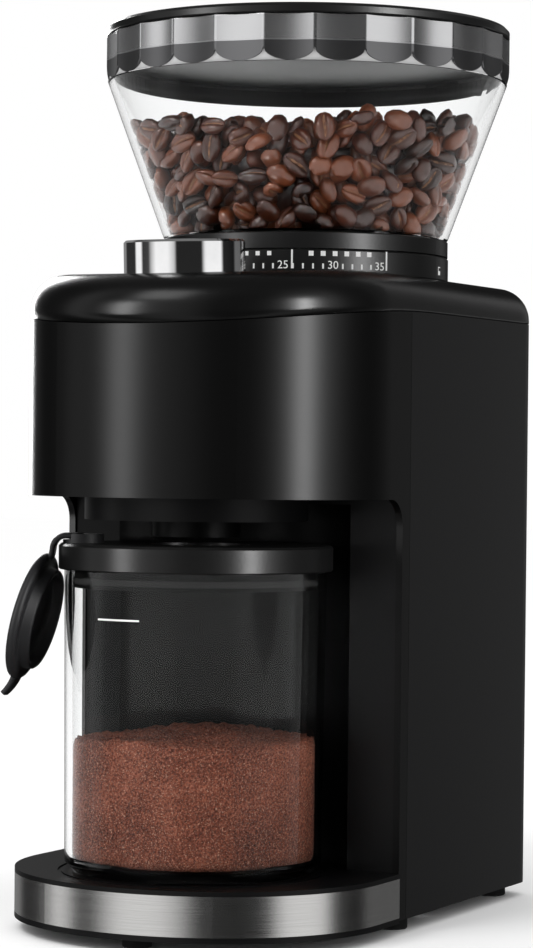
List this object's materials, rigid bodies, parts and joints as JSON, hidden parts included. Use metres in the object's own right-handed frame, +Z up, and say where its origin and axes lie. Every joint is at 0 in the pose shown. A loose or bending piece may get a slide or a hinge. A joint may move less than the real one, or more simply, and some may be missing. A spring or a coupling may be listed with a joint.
{
  "type": "burr coffee grinder",
  "caption": "Countertop burr coffee grinder with a clear bean hopper, a turning grind dial, a chrome knob and a clear ground-coffee container in an open front bay.",
  "frame": {"origin": "centre of the footprint's bounding box, on the table under the feet", "axes": "+Z up, -Y the front where the container stands, +X to the right as seen from the front"},
  "size_m": [0.1464, 0.2084, 0.3165],
  "materials": {
    "base_plastic": "moulded black plastic, matte",
    "foot_rubber": "black rubber, dull",
    "brushed_band": "horizontally brushed stainless steel",
    "front_shell": "black, fine brushed satin",
    "side_shell": "black, matte satin with fine texture",
    "cover_gloss": "black, glossy satin",
    "frame_metal": "die cast, as cast",
    "chamber_plastic": "glass filled nylon, dark grey",
    "steel": "turned",
    "motor_steel": "zinc plated",
    "magnet": "ferrite, dull",
    "bronze": "sintered",
    "circuit_board": "green solder mask",
    "switch_body": "dark blue grey",
    "dial_plastic": "black satin with white marks",
    "clear_plastic": "clear, polished",
    "grip_plastic": "clear, fluted, silvery",
    "lid_plastic": "black satin",
    "burr_steel": "hardened, ground cutting edges",
    "gear_plastic": "natural acetal",
    "winding": "varnished copper wire on steel",
    "copper": "machined copper",
    "chrome": "polished",
    "switch_red": "red nylon",
    "seal_rubber": "pale silicone",
    "flap_rubber": "black silicone rubber, satin"
  },
  "bodies": {
    "body": {"bottom_cover": "base_plastic", "rubber_feet": "foot_rubber", "base_tray": "base_plastic", "base_band": "brushed_band", "container_mat": "foot_rubber", "front_housing": "front_shell", "rear_housing": "side_shell", "top_cover": "cover_gloss", "bay_panel": "base_plastic", "head_underplate": "base_plastic", "chute_skirt": "base_plastic", "grounds_chute": "base_plastic", "inner_frame": "frame_metal", "grinding_chamber": "chamber_plastic", "burr_holder": "chamber_plastic", "gearbox_housing": "frame_metal", "gearbox_cover": "frame_metal", "upper_bearing": "steel", "lower_bearing": "steel", "idler_axle": "steel", "motor_can": "motor_steel", "motor_end_plate": "motor_steel", "motor_magnets": "magnet", "motor_bearings": "bronze", "control_board": "circuit_board", "power_board": "circuit_board", "knob_encoder": "switch_body", "start_switch": "switch_body", "interlock_switch": "switch_body", "cord_gland": "foot_rubber", "housing_screws": "steel", "gearbox_screws": "steel"},
    "adjust_ring": {"dial_ring": "dial_plastic"},
    "hopper": {"hopper": "clear_plastic", "hopper_foot": "dial_plastic", "hopper_grip": "grip_plastic"},
    "hopper_lid": {"hopper_lid": "lid_plastic"},
    "burr_carrier": {"burr_carrier": "chamber_plastic", "ring_burr": "burr_steel"},
    "burr_drive": {"inner_burr": "burr_steel", "drive_shaft": "steel", "output_gear": "gear_plastic", "sweeper": "gear_plastic", "burr_nut": "steel"},
    "idler": {"idler_gear": "gear_plastic"},
    "motor_rotor": {"motor_shaft": "steel", "armature": "winding", "commutator": "copper", "motor_pinion": "bronze", "cooling_fan": "gear_plastic"},
    "knob": {"selector_knob": "chrome", "knob_hub": "chamber_plastic"},
    "start_button": {"start_button": "chrome"},
    "interlock_plunger": {"interlock_plunger": "switch_red"},
    "container": {"container": "clear_plastic"},
    "container_lid": {"container_lid": "lid_plastic", "lid_seal": "seal_rubber", "flap_anchor": "flap_rubber"},
    "flap": {"flap_strap": "flap_rubber", "flap_cap": "flap_rubber"}
  },
  "joints": [
    {"name": "grind_adjust", "type": "hinge", "parent": "body", "child": "adjust_ring", "pos_m": [0, 0.03105, 0.225], "axis": [0, 0, 1], "range_deg": [-55, 88]},
    {"name": "hopper_lift", "type": "slide", "parent": "adjust_ring", "child": "hopper", "axis": [0, 0, 1], "range_m": [0, 0.06]},
    {"name": "lid_lift", "type": "slide", "parent": "hopper", "child": "hopper_lid", "axis": [0, 0, 1], "range_m": [0, 0.05]},
    {"name": "burr_height", "type": "slide", "parent": "body", "child": "burr_carrier", "axis": [0, 0, 1], "range_m": [-0.0007, 0.001]},
    {"name": "drive_spin", "type": "hinge", "parent": "body", "child": "burr_drive", "pos_m": [0, 0.03105, 0.17], "axis": [0, 0, 1], "continuous": true},
    {"name": "idler_spin", "type": "hinge", "parent": "body", "child": "idler", "pos_m": [0.02384, 0.05668, 0.16], "axis": [0, 0, 1], "continuous": true},
    {"name": "motor_spin", "type": "hinge", "parent": "body", "child": "motor_rotor", "pos_m": [0, 0.06705, 0.1], "axis": [0, 0, 1], "continuous": true},
    {"name": "knob_turn", "type": "hinge", "parent": "body", "child": "knob", "pos_m": [0, -0.062, 0.22266], "axis": [0, -0.0558, 0.9984], "continuous": true},
    {"name": "button_press", "type": "slide", "parent": "knob", "child": "start_button", "axis": [0, -0.0558, 0.9984], "range_m": [-0.0015, 0], "stiffness_N_per_m": 600},
    {"name": "interlock_press", "type": "slide", "parent": "body", "child": "interlock_plunger", "axis": [0, 0, 1], "range_m": [-0.0015, 0], "stiffness_N_per_m": 300},
    {"name": "container_slide", "type": "slide", "parent": "body", "child": "container", "axis": [0, -1, 0], "range_m": [0, 0.11]},
    {"name": "container_lid_turn", "type": "hinge", "parent": "container", "child": "container_lid", "pos_m": [0, -0.05165, 0.125], "axis": [0, 0, 1], "range_deg": [0, 40]},
    {"name": "flap_swing", "type": "hinge", "parent": "container_lid", "child": "flap", "pos_m": [-0.03884, -0.07101, 0.134], "axis": [-0.4462, 0.8949, 0], "range_deg": [0, 78]}
  ],
  "couplings": [
    {"joint": "burr_height", "follows": "grind_adjust", "m_per_rad": 0.00056},
    {"joint": "idler_spin", "follows": "drive_spin", "ratio": -3.6667},
    {"joint": "motor_spin", "follows": "drive_spin", "ratio": 12.222}
  ]
}
